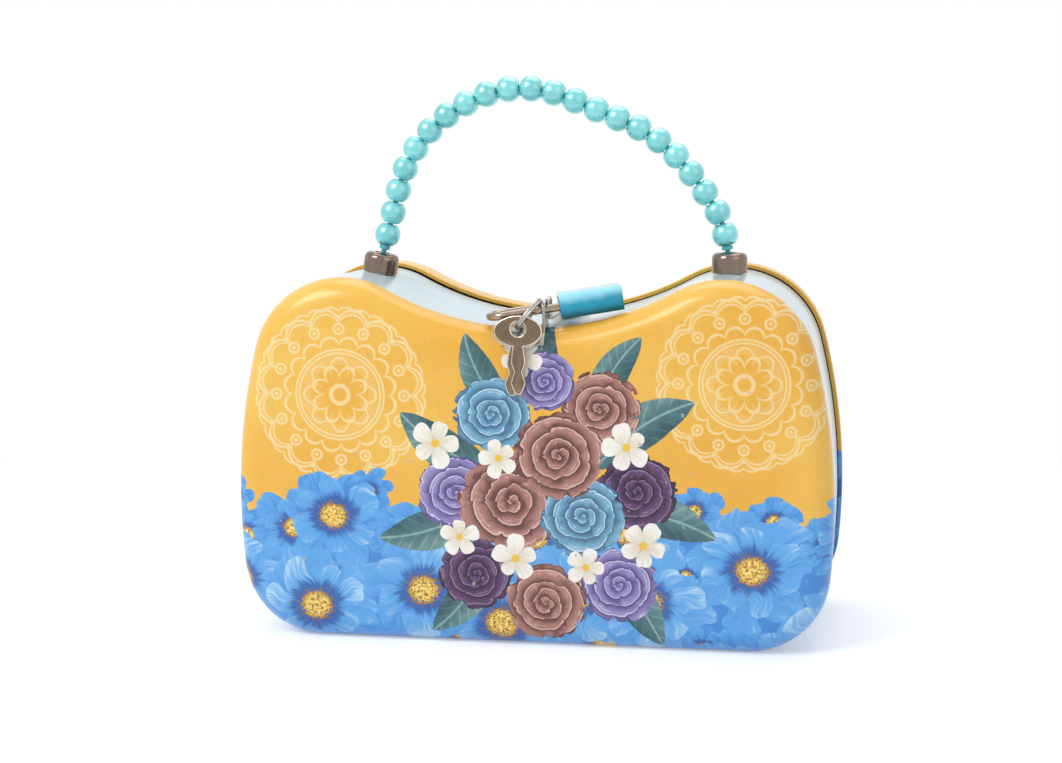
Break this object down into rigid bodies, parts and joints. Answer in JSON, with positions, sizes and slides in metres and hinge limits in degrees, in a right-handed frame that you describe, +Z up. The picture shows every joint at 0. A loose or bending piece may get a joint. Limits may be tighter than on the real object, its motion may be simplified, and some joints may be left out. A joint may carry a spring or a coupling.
{
  "type": "tin money box",
  "caption": "Handbag-shaped printed tin money box with a hinged rear cover, a beaded wire handle, and a small padlock with keys on a ring.",
  "frame": {"origin": "on the floor under the middle of the case, halfway between the two seams of the wall", "axes": "+X to the right across the front, +Y from the front face to the back, +Z up"},
  "size_m": [0.183, 0.08, 0.1696],
  "materials": {
    "printed_tin": "glossy lithographed print in gold with small blue flowers",
    "printed_tin_cover": "glossy lithographed print, gold rim and cream tray",
    "aqua_tin": "glossy pale aqua print, blue flowers near the floor",
    "bare_steel": "plain plated steel",
    "chrome": "bright plate",
    "key_metal": "warm nickel plate",
    "brass": "plain brass",
    "blue_plastic": "glossy cyan plastic sleeve",
    "teal_plastic": "glossy teal plastic",
    "bead_plastic": "pearly aqua plastic beads"
  },
  "bodies": {
    "case": {"front_panel": "printed_tin", "body_wall": "aqua_tin", "hinge_leaf_body": "bare_steel", "hinge_pin": "bare_steel", "foot_cup_left": "chrome", "foot_cup_right": "chrome", "foot_nuts": "bare_steel", "catch_plate": "bare_steel", "catch_rivets": "bare_steel"},
    "cover": {"rear_cover": "printed_tin_cover", "hinge_leaf_cover": "bare_steel", "hasp_tongue": "bare_steel", "tongue_rivets": "bare_steel"},
    "handle": {"handle_wire": "bare_steel", "wire_stops": "bare_steel", "bead_spacers": "teal_plastic", "bead_01": "bead_plastic", "bead_02": "bead_plastic", "bead_03": "bead_plastic", "bead_04": "bead_plastic", "bead_05": "bead_plastic", "bead_06": "bead_plastic", "bead_07": "bead_plastic", "bead_08": "bead_plastic", "bead_09": "bead_plastic", "bead_10": "bead_plastic", "bead_11": "bead_plastic", "bead_12": "bead_plastic", "bead_13": "bead_plastic", "bead_14": "bead_plastic", "bead_15": "bead_plastic", "bead_16": "bead_plastic", "bead_17": "bead_plastic", "bead_18": "bead_plastic", "bead_19": "bead_plastic", "bead_20": "bead_plastic", "bead_21": "bead_plastic", "bead_22": "bead_plastic"},
    "padlock": {"padlock_shell": "blue_plastic", "padlock_core": "bare_steel", "shackle_spring": "bare_steel"},
    "shackle": {"shackle": "chrome"},
    "plug": {"key_plug": "brass"},
    "key_ring": {"key_ring": "bare_steel"},
    "key_front": {"key_front": "key_metal"},
    "key_back": {"key_back": "key_metal"}
  },
  "joints": [
    {"name": "cover_hinge", "type": "hinge", "parent": "case", "child": "cover", "pos_m": [0, 0.0242, 0.00115], "axis": [-1, 0, 0], "range_deg": [0, 80]},
    {"name": "handle_rock", "type": "hinge", "parent": "case", "child": "handle", "pos_m": [0, 0, 0.1131], "axis": [1, 0, 0], "range_deg": [-18, 18]},
    {"name": "padlock_swing", "type": "hinge", "parent": "case", "child": "padlock", "pos_m": [0, -0.031, 0.0999], "axis": [0.9674, 0.2056, 0.1476], "range_deg": [0, 150]},
    {"name": "shackle_slide", "type": "slide", "parent": "padlock", "child": "shackle", "axis": [0.9674, 0.2056, 0.1476], "range_m": [0, 0.0067], "stiffness_N_per_m": 150, "springref_m": -0.002, "deforming": ["shackle_spring"]},
    {"name": "plug_turn", "type": "hinge", "parent": "padlock", "child": "plug", "pos_m": [-0.0011, -0.02582, 0.0999], "axis": [-0.9674, -0.2056, -0.1476], "range_deg": [0, 90]},
    {"name": "ring_swing", "type": "hinge", "parent": "case", "child": "key_ring", "pos_m": [0.0016, -0.03066, 0.10014], "axis": [0.9674, 0.2056, 0.1476], "range_deg": [-70, 0]},
    {"name": "key_front_swing", "type": "hinge", "parent": "key_ring", "child": "key_front", "pos_m": [-0.00132, -0.03755, 0.09666], "axis": [0, 1, 0], "range_deg": [-25, 25]},
    {"name": "key_back_swing", "type": "hinge", "parent": "key_ring", "child": "key_back", "pos_m": [-0.00183, -0.0366, 0.09606], "axis": [0, 1, 0], "range_deg": [-25, 25]}
  ]
}
